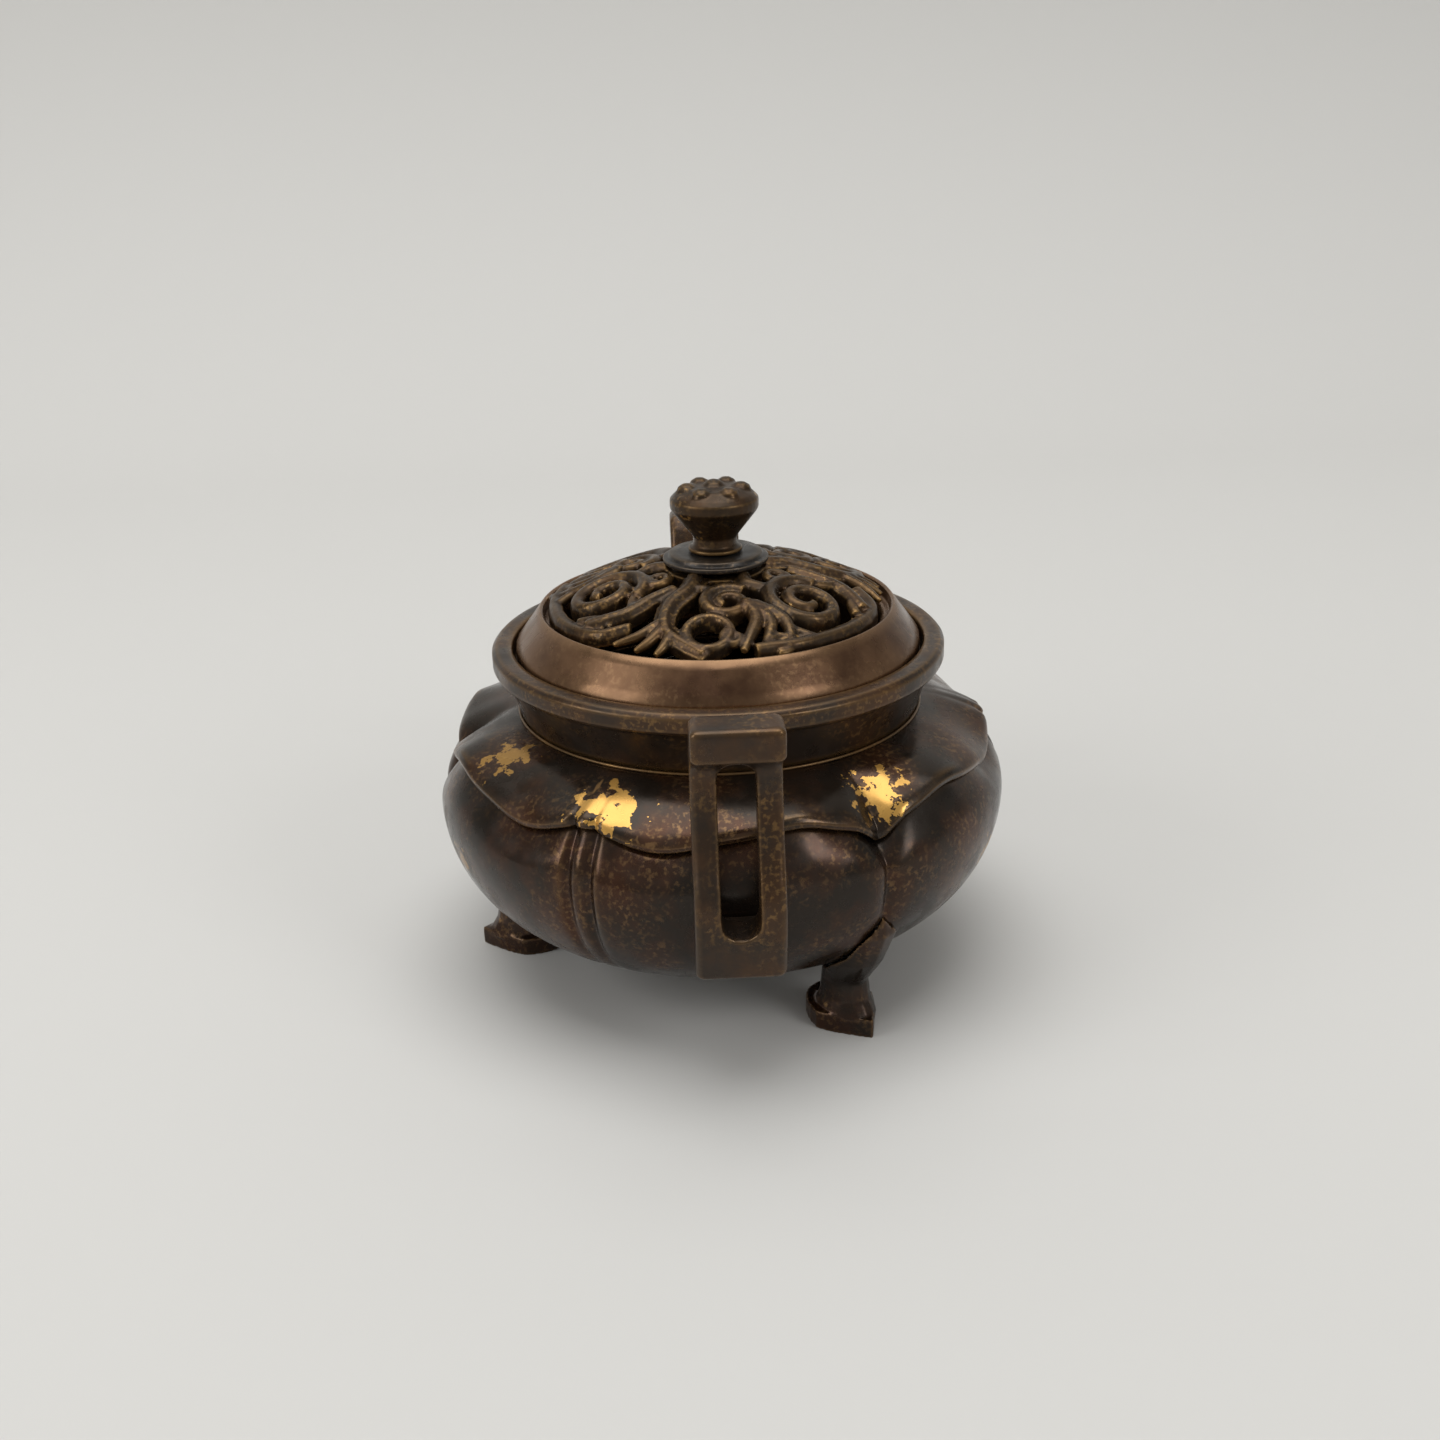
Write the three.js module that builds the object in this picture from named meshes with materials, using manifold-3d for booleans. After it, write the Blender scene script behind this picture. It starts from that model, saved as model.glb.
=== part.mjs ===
// A lidded bronze incense burner with a three-lobed, petal-edged body, ear handles and a pierced lid.
// Millimetres, +Z up. The origin is on the floor under the mouth's centre. The handles lie on -Y and +Y.
import * as THREE from 'three';
import { mergeVertices } from 'three/addons/utils/BufferGeometryUtils.js';
import Module from 'manifold-3d';

const wasm = await Module();
wasm.setup();

// Driving sizes of the body
const RIM_TOP_Z = 81;
const RIM_OUTER_R = 54;
const RIM_HEIGHT = 5;
const RIM_CHAMFER = 1;
const NECK_TOP_R = 52;
const NECK_BASE_R = 48.1;
const NECK_BASE_Z = 65.3;
const WALL = 3;
const LEDGE_DEPTH = 4.5;
const BELLY_R = 69;
const BELLY_Z = 44;
const BOWL_BOTTOM_Z = 13;
const BOWL_FLAT_R = 38;
const EDGE_R = 65;
const EDGE_OVERHANG = 2.2;
const EDGE_THICKNESS = 1.8;
const CREASE_DEPTH = 2.4;
const CREASE_ANGLE = 2.2;
const GROOVE_DEPTH = 1.6;
const GROOVE_SPACING = 5.5;

// Height of the petal edge, from a foot's axis (0 degrees) to a groove's axis (60 degrees)
const EDGE_WAVE = [[0, 52.5], [6, 57.2], [17.5, 60.5], [30, 58.2], [45, 55.2], [60, 59]];

// Clearances
const GAP = 0.3;
const LID_CLEARANCE = 1;
const STUD_CLEARANCE = 0.3;

// Driving sizes of the feet
const FOOT_COUNT = 3;
const TOE_R = 62;
const HEEL_R = 40;
const SOLE_HALF_WIDTH = 8;
const SOLE_THICKNESS = 4.5;
const ANKLE_R = 51;
const ANKLE_WIDTH = 11;
const THIGH_WIDTH = 19;

// Driving sizes of the handles
const HANDLE_WIDTH = 19;
const HANDLE_TOP_Z = 90;
const HANDLE_LIP_R = 85;
const HANDLE_FOOT_Z = 32;
const STRAP_THICKNESS = 6;
const SLOT_WIDTH = 8;
const SLOT_BOTTOM_Z = 42.5;
const SLOT_TOP_Z = 79;

// Driving sizes of the lid
const LID_RING_TOP_R = 41.3;
const LID_RING_TOP_Z = 89.3;
const LID_WALL = 2.3;
const LID_REGISTER_DEPTH = 5;
const DOME_SEAT_Z = 86.4;
const DOME_OUTER_R = 40.6;
const DOME_EDGE_Z = 89;
const DOME_TOP_Z = 98.8;
const DOME_THICKNESS = 3;
const DISC_R = 12.5;
const DISC_THICKNESS = 2.5;
const STEM_R = 5.2;
const STEM_LENGTH = 3.6;
const STUD_R = 2.5;
const KNOB_R = 10.4;
const KNOB_CONE_HEIGHT = 6.1;
const KNOB_BAND = 3.4;
const KNOB_CROWN = 3.8;
const NUT_R = 5.5;
const NUT_THICKNESS = 3;

// Smoothness of round forms
const ROUND_STEPS = 72;
const SMALL_STEPS = 40;

const DEGREE = Math.PI / 180;

const FINISHES = {
  patina: { color: '#3a2f27', roughness: 0.36, metalness: 0.85 },
  patinaWarm: { color: '#4a3728', roughness: 0.34, metalness: 0.85 },
  copper: { color: '#8f6a50', roughness: 0.3, metalness: 0.95 },
  scroll: { color: '#54402d', roughness: 0.4, metalness: 0.85 },
  dark: { color: '#2f2c29', roughness: 0.38, metalness: 0.85 },
};

// A closed geometry as a solid that can be joined and cut
function toSolid(geometry) {
  const bare = geometry.clone();
  bare.deleteAttribute('normal');
  bare.deleteAttribute('uv');
  const merged = mergeVertices(bare, 1e-4);
  return new wasm.Manifold(new wasm.Mesh({
    numProp: 3,
    vertProperties: new Float32Array(merged.attributes.position.array),
    triVerts: new Uint32Array(merged.index.array),
  }));
}

// A solid's surface as a geometry
function toGeometry(solid) {
  const mesh = solid.getMesh();
  const geometry = new THREE.BufferGeometry();
  geometry.setAttribute('position', new THREE.BufferAttribute(new Float32Array(mesh.vertProperties), 3));
  geometry.setIndex(new THREE.BufferAttribute(new Uint32Array(mesh.triVerts), 1));
  geometry.computeVertexNormals();
  return geometry;
}

function indexed(points, triangles) {
  const geometry = new THREE.BufferGeometry();
  geometry.setAttribute('position', new THREE.Float32BufferAttribute(points.flat(), 3));
  geometry.setIndex(triangles.flat());
  geometry.computeVertexNormals();
  return geometry;
}

// A revolve about +Z of [radius, height] points, which run counterclockwise seen with the axis at the left
function lathe(profile, steps = ROUND_STEPS) {
  const points = profile.map(([r, z]) => new THREE.Vector2(r, z));
  const geometry = new THREE.LatheGeometry(points, steps);
  geometry.rotateX(Math.PI / 2);
  return geometry;
}

function closedLathe(profile, steps = ROUND_STEPS) {
  return lathe([...profile, profile[0]], steps);
}

// Linear interpolation through a list of [position, value] pairs, eased with a cosine between them
function eased(pairs, at) {
  const last = pairs.length - 1;
  const index = pairs.findIndex(([position]) => position >= at);
  if (index === 0) return pairs[0][1];
  if (index < 0) return pairs[last][1];
  const [x0, y0] = pairs[index - 1];
  const [x1, y1] = pairs[index];
  const t = (1 - Math.cos(Math.PI * (at - x0) / (x1 - x0))) / 2;
  return y0 + (y1 - y0) * t;
}

// Feet stand at 60, 180 and 300 degrees, and groove pairs lie halfway between them
const SECTOR = 360 / FOOT_COUNT;
const HALF_SECTOR = SECTOR / 2;

// Angle from the nearest foot's axis, from 0 to half a sector
function footAngle(degrees) {
  const turned = (((degrees - HALF_SECTOR) % SECTOR) + SECTOR) % SECTOR;
  return Math.min(turned, SECTOR - turned);
}

// Directions round the body, closer together at the creases and grooves
function bodyDirections() {
  const half = [0, 1.2, 3, 6, 10, 15, 20, 25, 30, 35, 40, 45, 50, 54, 56.2, 57.7, 58.9];
  const scale = HALF_SECTOR / 60;
  const directions = [];
  for (let k = 0; k < FOOT_COUNT; k += 1) {
    const start = HALF_SECTOR + k * SECTOR;
    half.forEach((a) => directions.push(start + a * scale));
    directions.push(start + HALF_SECTOR);
    half.slice(1).reverse().forEach((a) => directions.push(start + SECTOR - a * scale));
  }
  return directions;
}

const edgeHeight = (degrees) => eased(EDGE_WAVE, footAngle(degrees) * (60 / HALF_SECTOR));

// Depth of the crease over each foot and of the groove pair between feet
function inset(degrees) {
  const fromFoot = footAngle(degrees);
  const fromGroove = (HALF_SECTOR - fromFoot) * DEGREE * BELLY_R;
  const crease = CREASE_DEPTH * Math.exp(-fromFoot / CREASE_ANGLE);
  const groove = GROOVE_DEPTH * Math.max(0, 1 - Math.abs(fromGroove - GROOVE_SPACING / 2) / 1.8);
  return crease + groove;
}

const edgeRadius = (degrees) => EDGE_R - 0.8 * inset(degrees);

// Outer profile of the bowl in one direction, from the bottom's axis to the top edge
function bowlOuter(degrees, offset = 0) {
  const topR = edgeRadius(degrees) - EDGE_OVERHANG;
  const topZ = edgeHeight(degrees) - EDGE_THICKNESS - GAP;
  const depth = inset(degrees);
  const points = [[0, BOWL_BOTTOM_Z - offset], [BOWL_FLAT_R, BOWL_BOTTOM_Z - offset]];
  const lowerSteps = 6;
  for (let i = 1; i <= lowerSteps; i += 1) {
    const a = (i / lowerSteps) * 90 * DEGREE;
    const r = BOWL_FLAT_R + (BELLY_R - BOWL_FLAT_R) * Math.sin(a);
    const z = BELLY_Z - (BELLY_Z - BOWL_BOTTOM_Z) * Math.cos(a);
    const share = i / lowerSteps;
    points.push([r - depth * share + offset * Math.sin(a), z - offset * Math.cos(a)]);
  }
  const upperSteps = 3;
  const bellyR = BELLY_R - depth;
  for (let i = 1; i <= upperSteps; i += 1) {
    const t = i / upperSteps;
    const z = BELLY_Z + (topZ - BELLY_Z) * t;
    points.push([bellyR + (topR - bellyR) * t * t + offset, z]);
  }
  return points;
}

// Joins profiles round the axis. Each profile starts and ends on the axis.
function aroundAxis(profileAt, directions) {
  const profiles = directions.map(profileAt);
  const rows = profiles[0].length - 2;
  const points = [[0, 0, profiles[0][0][1]], [0, 0, profiles[0][rows + 1][1]]];
  directions.forEach((d, k) => {
    profiles[k].slice(1, -1).forEach(([r, z]) => {
      points.push([r * Math.cos(d * DEGREE), r * Math.sin(d * DEGREE), z]);
    });
  });
  const at = (k, row) => 2 + (k % directions.length) * rows + row;
  const triangles = [];
  for (let k = 0; k < directions.length; k += 1) {
    triangles.push([0, at(k + 1, 0), at(k, 0)]);
    for (let row = 0; row < rows - 1; row += 1) {
      triangles.push([at(k, row), at(k + 1, row), at(k + 1, row + 1)]);
      triangles.push([at(k, row), at(k + 1, row + 1), at(k, row + 1)]);
    }
    triangles.push([1, at(k, rows - 1), at(k + 1, rows - 1)]);
  }
  return indexed(points, triangles);
}

// Joins closed profiles round the axis, clear of it
function ringAround(profileAt, directions) {
  const profiles = directions.map(profileAt);
  const rows = profiles[0].length;
  const points = [];
  directions.forEach((d, k) => {
    profiles[k].forEach(([r, z]) => points.push([r * Math.cos(d * DEGREE), r * Math.sin(d * DEGREE), z]));
  });
  const at = (k, row) => (k % directions.length) * rows + (row % rows);
  const triangles = [];
  for (let k = 0; k < directions.length; k += 1) {
    for (let row = 0; row < rows; row += 1) {
      triangles.push([at(k, row), at(k + 1, row), at(k + 1, row + 1)]);
      triangles.push([at(k, row), at(k + 1, row + 1), at(k, row + 1)]);
    }
  }
  return indexed(points, triangles);
}

// The bowl: three lobes with a crease over each foot and a pair of grooves between feet
function bellyBowl() {
  const profileAt = (degrees) => {
    const outer = bowlOuter(degrees);
    const [topR, topZ] = outer[outer.length - 1];
    const innerBellyR = BELLY_R - WALL - CREASE_DEPTH;
    const inner = [[topR - WALL, topZ], [innerBellyR, BELLY_Z]];
    [60, 30].forEach((a) => {
      const r = BOWL_FLAT_R + (innerBellyR - BOWL_FLAT_R) * Math.sin(a * DEGREE);
      inner.push([r, BELLY_Z - (BELLY_Z - BOWL_BOTTOM_Z - WALL) * Math.cos(a * DEGREE)]);
    });
    return [...outer, ...inner, [BOWL_FLAT_R - WALL, BOWL_BOTTOM_Z + WALL], [0, BOWL_BOTTOM_Z + WALL]];
  };
  return aroundAxis(profileAt, bodyDirections());
}

// The bowl filled in and grown by the clearance, which cuts whatever is fitted against it
function bowlCutter() {
  const profileAt = (degrees) => {
    const outer = bowlOuter(degrees, GAP);
    return [...outer, [0, outer[outer.length - 1][1]]];
  };
  return toSolid(aroundAxis(profileAt, bodyDirections()));
}

// The shoulder, from the neck's seam out to the petal edge that overhangs the bowl
function shoulderCollar() {
  const seamZ = NECK_BASE_Z - GAP;
  const profileAt = (degrees) => {
    const r = edgeRadius(degrees);
    const z = edgeHeight(degrees);
    const startR = NECK_BASE_R + 0.4;
    const slope = [0.35, 0.7, 0.95].map((t) => [
      startR + (r - startR) * t,
      seamZ + (z + 0.5 - seamZ) * Math.pow(t, 1.5),
    ]);
    const under = z - EDGE_THICKNESS;
    const innerR = NECK_BASE_R - WALL;
    return [
      [innerR, seamZ],
      [innerR, seamZ - WALL],
      [(innerR + r) / 2 - 1, (seamZ - WALL + under) / 2],
      [r - EDGE_OVERHANG - WALL, under],
      [r - EDGE_OVERHANG, under],
      [r - 0.3, under],
      [r, z - 0.6],
      ...slope.reverse(),
      [startR, seamZ],
    ];
  };
  return ringAround(profileAt, bodyDirections());
}

// The neck and rim, with the recess and ledge that the lid sits in
function mouthRing() {
  const lidBoreR = lidOuterR + LID_CLEARANCE;
  const rimBaseZ = RIM_TOP_Z - RIM_HEIGHT;
  const ledgeZ = RIM_TOP_Z - LEDGE_DEPTH;
  const innerR = NECK_BASE_R - WALL;
  return closedLathe([
    [innerR, NECK_BASE_Z],
    [NECK_BASE_R, NECK_BASE_Z],
    [(NECK_BASE_R + NECK_TOP_R) / 2 - 0.6, (NECK_BASE_Z + rimBaseZ) / 2],
    [NECK_TOP_R, rimBaseZ],
    [RIM_OUTER_R - 0.4, rimBaseZ + 0.3],
    [RIM_OUTER_R, rimBaseZ + 1],
    [RIM_OUTER_R, RIM_TOP_Z - RIM_CHAMFER],
    [RIM_OUTER_R - RIM_CHAMFER, RIM_TOP_Z],
    [lidBoreR, RIM_TOP_Z],
    [lidBoreR, ledgeZ],
    [innerR, ledgeZ],
  ]);
}

// A stack of rings of equal length, capped at both ends
function loft(rings) {
  const count = rings[0].length;
  const middle = (ring) => [0, 1, 2].map((i) => ring.reduce((sum, p) => sum + p[i], 0) / count);
  const points = [middle(rings[0]), middle(rings[rings.length - 1]), ...rings.flat()];
  const at = (level, k) => 2 + level * count + (k % count);
  const triangles = [];
  for (let k = 0; k < count; k += 1) {
    triangles.push([0, at(0, k + 1), at(0, k)]);
    for (let level = 0; level < rings.length - 1; level += 1) {
      triangles.push([at(level, k), at(level, k + 1), at(level + 1, k + 1)]);
      triangles.push([at(level, k), at(level + 1, k + 1), at(level + 1, k)]);
    }
    triangles.push([1, at(rings.length - 1, k), at(rings.length - 1, k + 1)]);
  }
  return indexed(points, triangles);
}

// One level of a leg: an egg-shaped ring, pointed on its outer side
function legRing(centreR, depth, width, z) {
  const ring = [];
  const steps = 16;
  for (let k = 0; k < steps; k += 1) {
    const a = (k / steps) * 2 * Math.PI;
    const point = 1 + 0.18 * Math.pow(Math.max(0, Math.cos(a)), 3);
    ring.push([centreR + (depth / 2) * Math.cos(a) * point, (width / 2) * Math.sin(a), z]);
  }
  return ring;
}

// The pointed sole, seen from above
function soleGeometry() {
  const shape = new THREE.Shape();
  shape.moveTo(TOE_R, 0);
  shape.quadraticCurveTo(TOE_R - 7, SOLE_HALF_WIDTH * 0.8, ANKLE_R, SOLE_HALF_WIDTH);
  shape.quadraticCurveTo(HEEL_R + 1, SOLE_HALF_WIDTH * 0.9, HEEL_R, 0);
  shape.quadraticCurveTo(HEEL_R + 1, -SOLE_HALF_WIDTH * 0.9, ANKLE_R, -SOLE_HALF_WIDTH);
  shape.quadraticCurveTo(TOE_R - 7, -SOLE_HALF_WIDTH * 0.8, TOE_R, 0);
  return new THREE.ExtrudeGeometry(shape, { depth: SOLE_THICKNESS, bevelEnabled: false, curveSegments: 6 });
}

// A leg that swells out of the bowl, narrows at the ankle and spreads to a pointed toe
function foot(cutter, degrees) {
  const thighZ = BOWL_BOTTOM_Z + 15;
  const leg = toSolid(loft([
    legRing(ANKLE_R, 16, SOLE_HALF_WIDTH * 1.7, SOLE_THICKNESS - 1),
    legRing(ANKLE_R, 12, ANKLE_WIDTH + 0.6, SOLE_THICKNESS + 3),
    legRing(ANKLE_R, 10.5, ANKLE_WIDTH, BOWL_BOTTOM_Z - 1),
    legRing(ANKLE_R + 3.5, 13, THIGH_WIDTH * 0.78, BOWL_BOTTOM_Z + 6),
    legRing(ANKLE_R + 6, 15.5, THIGH_WIDTH, thighZ),
    legRing(ANKLE_R + 7, 12, THIGH_WIDTH * 0.7, thighZ + 7),
  ]));
  const whole = leg.add(toSolid(soleGeometry())).rotate([0, 0, degrees]);
  return toGeometry(whole.subtract(cutter));
}

// A strap handle that stands on the belly and flares out over its undercut lip
function handle(cutter, degrees) {
  const lip = HANDLE_LIP_R;
  const top = HANDLE_TOP_Z;
  const base = HANDLE_FOOT_Z;
  const strap = STRAP_THICKNESS;
  const side = new THREE.Shape();
  side.moveTo(lip - 9, top);
  side.lineTo(lip - 1.5, top);
  side.quadraticCurveTo(lip, top, lip, top - 1.5);
  side.lineTo(lip, top - 7);
  side.quadraticCurveTo(lip - 10, top - 9, lip - 10.5, top - 14);
  side.quadraticCurveTo(lip - 9.5, top - 24, lip - 5.5, top - 33);
  side.quadraticCurveTo(lip - 0.5, top - 42, lip - 4, top - 52);
  side.lineTo(lip - 6, base);
  side.lineTo(BELLY_R - 10, base);
  side.lineTo(BELLY_R - 10, base + strap + 2.5);
  side.lineTo(lip - 12.5, base + strap + 4);
  side.quadraticCurveTo(lip - 8.5, top - 41, lip - 11.5, top - 33);
  side.quadraticCurveTo(lip - 15.5, top - 24, lip - 16, top - 14);
  side.quadraticCurveTo(lip - 14.5, top - 5, lip - 9, top);
  const blank = new THREE.ExtrudeGeometry(side, {
    depth: HANDLE_WIDTH - 2,
    bevelEnabled: true,
    bevelThickness: 1,
    bevelSize: 0.8,
    bevelOffset: -0.8,
    bevelSegments: 1,
    curveSegments: 7,
  });
  blank.translate(0, 0, 1 - HANDLE_WIDTH / 2);
  blank.rotateX(Math.PI / 2);
  const slotR = SLOT_WIDTH / 2;
  const slot = new THREE.Shape();
  slot.moveTo(-slotR, SLOT_BOTTOM_Z + slotR);
  slot.absarc(0, SLOT_BOTTOM_Z + slotR, slotR, Math.PI, 2 * Math.PI, false);
  slot.absarc(0, SLOT_TOP_Z - slotR, slotR, 0, Math.PI, false);
  const slotGeometry = new THREE.ExtrudeGeometry(slot, { depth: 40, bevelEnabled: false, curveSegments: 8 });
  slotGeometry.rotateX(Math.PI / 2);
  slotGeometry.rotateZ(Math.PI / 2);
  slotGeometry.translate(BELLY_R - 8, 0, 0);
  const solid = toSolid(blank).subtract(toSolid(slotGeometry)).rotate([0, 0, degrees]);
  return toGeometry(solid.subtract(cutter));
}

// The lid's bevelled ring, its register below the rim and the seat for the dome
const lidOuterR = 48.2;
function lidRing() {
  const ledgeZ = RIM_TOP_Z - LEDGE_DEPTH + GAP;
  const registerR = NECK_BASE_R - WALL - LID_CLEARANCE;
  const seatR = LID_RING_TOP_R - LID_WALL;
  return closedLathe([
    [registerR, ledgeZ - LID_REGISTER_DEPTH],
    [registerR, ledgeZ],
    [lidOuterR, ledgeZ],
    [lidOuterR, RIM_TOP_Z],
    [LID_RING_TOP_R + 0.8, LID_RING_TOP_Z],
    [LID_RING_TOP_R, LID_RING_TOP_Z - 0.4],
    [LID_RING_TOP_R, DOME_SEAT_Z],
    [seatR, DOME_SEAT_Z],
    [seatR, ledgeZ - LID_REGISTER_DEPTH],
  ]);
}

// The dome's height at a radius: a low arch from the seat to the disc
function domeHeight(r) {
  const share = Math.min(1, r / DOME_OUTER_R);
  return DOME_TOP_Z - (DOME_TOP_Z - DOME_EDGE_Z) * Math.pow(share, 2.1);
}

// The dome as a whole shell, before the scrollwork is cut from it
function domeShell() {
  const holeR = STUD_R + STUD_CLEARANCE;
  const radii = [DOME_OUTER_R, 34, 26, 18, holeR];
  const outer = radii.map((r) => [r, domeHeight(r)]);
  const inner = [...radii].reverse().map((r) => [r, domeHeight(r) - DOME_THICKNESS]);
  inner[inner.length - 1] = [DOME_OUTER_R, DOME_SEAT_Z + GAP];
  return toSolid(closedLathe([...outer, ...inner], SMALL_STEPS));
}

// A band along a curve in plan, upright through the dome, with a width that varies along it
function band(curve, widthAt, steps) {
  const left = [];
  const right = [];
  for (let i = 0; i <= steps; i += 1) {
    const t = i / steps;
    const p = curve.getPoint(t);
    const d = curve.getTangent(t);
    const half = widthAt(t) / 2;
    left.push(new THREE.Vector2(p.x - d.y * half, p.y + d.x * half));
    right.push(new THREE.Vector2(p.x + d.y * half, p.y - d.x * half));
  }
  const shape = new THREE.Shape([...left, ...right.reverse()]);
  const geometry = new THREE.ExtrudeGeometry(shape, { depth: 40, bevelEnabled: false });
  geometry.translate(0, 0, DOME_SEAT_Z - 20);
  return toSolid(geometry);
}

const polar = (r, degrees) => new THREE.Vector2(r * Math.cos(degrees * DEGREE), r * Math.sin(degrees * DEGREE));

// A spiral that winds inward about a centre
class Spiral extends THREE.Curve {
  constructor(centre, outerR, innerR, start, turns) {
    super();
    Object.assign(this, { centre, outerR, innerR, start, turns });
  }

  getPoint(t) {
    const r = this.outerR + (this.innerR - this.outerR) * t;
    const a = (this.start + 360 * this.turns * t) * DEGREE;
    return new THREE.Vector2(this.centre.x + r * Math.cos(a), this.centre.y + r * Math.sin(a));
  }

  getTangent(t) {
    const step = 1e-3;
    const ahead = this.getPoint(Math.min(1, t + step));
    return ahead.sub(this.getPoint(Math.max(0, t - step))).normalize();
  }
}

const spline = (pairs) => new THREE.SplineCurve(pairs.map(([r, a]) => polar(r, a)));
const taper = (start, middle, end) => (t) => (
  t < 0.5 ? start + (middle - start) * t * 2 : middle + (end - middle) * (t - 0.5) * 2
);

// One third of the scrollwork: a leaf from the disc, an oval loop, a large scroll, a curl and a rim arc
function scrollSector() {
  const leaf = band(spline([[9, 0], [17, 6], [25, 2], [33, 8], [39.5, 24]]), taper(6, 5.6, 3.4), 10);
  const loop = band(new Spiral(polar(32.5, 24), 4.9, 4.9, 0, 0.985), () => 2.6, 15);
  const bracket = band(spline([[9, 62], [15, 56], [19, 66]]), taper(5, 4, 3.6), 6);
  const scroll = band(new Spiral(polar(27, 76), 9.6, 2.6, 195, 1.6), taper(3.8, 3.4, 3), 24);
  const curl = band(new Spiral(polar(22, 34), 6.2, 1.9, 170, 1.35), taper(3.4, 2.8, 2.4), 17);
  const rimArc = band(spline([[38.2, 40], [38.4, 58], [38.6, 80], [37.6, 100], [33, 112]]), taper(3, 3.6, 3.2), 10);
  const hook = band(spline([[36.5, 94], [30, 104], [23, 108], [17, 114]]), taper(3.6, 4.6, 3.4), 8);
  return [loop, bracket, scroll, curl, rimArc, hook].reduce((sum, piece) => sum.add(piece), leaf);
}

// The pierced dome: three sectors of scrolls joined at a hub under the disc
function lidDome() {
  const hub = toSolid(new THREE.CylinderGeometry(DISC_R - 0.8, DISC_R - 0.8, 40, SMALL_STEPS)
    .rotateX(Math.PI / 2).translate(0, 0, DOME_SEAT_Z));
  const sector = scrollSector();
  const pattern = [0, 1, 2].reduce((sum, k) => sum.add(sector.rotate([0, 0, k * SECTOR])), hub);
  return toGeometry(domeShell().intersect(pattern));
}

const discZ = DOME_TOP_Z + GAP;
const stemZ = discZ + DISC_THICKNESS + GAP;
const knobZ = stemZ + STEM_LENGTH;

// The stepped disc at the top of the dome
function lidDisc() {
  const holeR = STUD_R + STUD_CLEARANCE;
  return closedLathe([
    [holeR, discZ],
    [DISC_R - 0.6, discZ],
    [DISC_R, discZ + 0.5],
    [DISC_R, discZ + 1.3],
    [DISC_R - 1.2, discZ + 1.5],
    [DISC_R - 1.6, discZ + DISC_THICKNESS],
    [holeR, discZ + DISC_THICKNESS],
  ], SMALL_STEPS);
}

// The stem and knob in one piece, with the stud that passes down through the disc and the dome
function lidKnob() {
  const studZ = DOME_TOP_Z - DOME_THICKNESS - NUT_THICKNESS - 1;
  const bandZ = knobZ + KNOB_CONE_HEIGHT;
  const crownZ = bandZ + KNOB_BAND;
  const body = toSolid(lathe([
    [0, studZ],
    [STUD_R, studZ],
    [STUD_R, stemZ],
    [STEM_R + 1.2, stemZ],
    [STEM_R + 1.2, stemZ + 0.8],
    [STEM_R, stemZ + 1.4],
    [STEM_R, knobZ],
    [KNOB_R - 0.4, bandZ],
    [KNOB_R, bandZ + 0.8],
    [KNOB_R, crownZ - 0.6],
    [KNOB_R - 1.2, crownZ + 0.6],
    [KNOB_R - 4, crownZ + 2],
    [0, crownZ + 2.6],
  ], SMALL_STEPS));
  const bossCount = 6;
  let knob = body;
  for (let k = 0; k < bossCount; k += 1) {
    const a = (k / bossCount) * 2 * Math.PI;
    const boss = new THREE.SphereGeometry(2.6, 10, 6);
    boss.scale(1, 1, 0.75);
    boss.translate(6.2 * Math.cos(a), 6.2 * Math.sin(a), crownZ + 1.1);
    knob = knob.add(toSolid(boss));
  }
  const button = new THREE.SphereGeometry(2.8, 12, 8);
  button.scale(1, 1, 0.75);
  button.translate(0, 0, crownZ + KNOB_CROWN - 2.1);
  return toGeometry(knob.add(toSolid(button)));
}

// The nut that holds the knob from below, round the stud
function knobNut() {
  const top = DOME_TOP_Z - DOME_THICKNESS - GAP - 0.1;
  const holeR = STUD_R + STUD_CLEARANCE;
  return closedLathe([
    [holeR, top - NUT_THICKNESS],
    [NUT_R, top - NUT_THICKNESS],
    [NUT_R, top],
    [holeR, top],
  ], 6 * 4);
}

function piece(name, geometry, finish) {
  const material = new THREE.MeshStandardMaterial({ name: finish, ...FINISHES[finish] });
  const mesh = new THREE.Mesh(geometry, material);
  mesh.name = name;
  return mesh;
}

function buildVessel() {
  const vessel = new THREE.Group();
  const cutter = bowlCutter();
  vessel.add(piece('belly_bowl', bellyBowl(), 'patina'));
  vessel.add(piece('shoulder_collar', shoulderCollar(), 'patina'));
  vessel.add(piece('mouth_ring', mouthRing(), 'patinaWarm'));
  for (let k = 0; k < FOOT_COUNT; k += 1) {
    vessel.add(piece(`foot_${k + 1}`, foot(cutter, HALF_SECTOR + k * SECTOR), 'patina'));
  }
  vessel.add(piece('handle_front', handle(cutter, -90), 'patinaWarm'));
  vessel.add(piece('handle_back', handle(cutter, 90), 'patinaWarm'));
  return vessel;
}

function buildLid() {
  const lid = new THREE.Group();
  lid.add(piece('lid_ring', lidRing(), 'copper'));
  lid.add(piece('lid_dome', lidDome(), 'scroll'));
  lid.add(piece('lid_disc', lidDisc(), 'dark'));
  lid.add(piece('lid_knob', lidKnob(), 'scroll'));
  lid.add(piece('knob_nut', knobNut(), 'dark'));
  return lid;
}

const burner = new THREE.Group();
burner.add(buildVessel());
burner.add(buildLid());

export default burner;
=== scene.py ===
"""Looks for a lidded bronze incense burner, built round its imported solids. Metres, +Z up."""

import logging
import math
from dataclasses import dataclass
from enum import Enum

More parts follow.
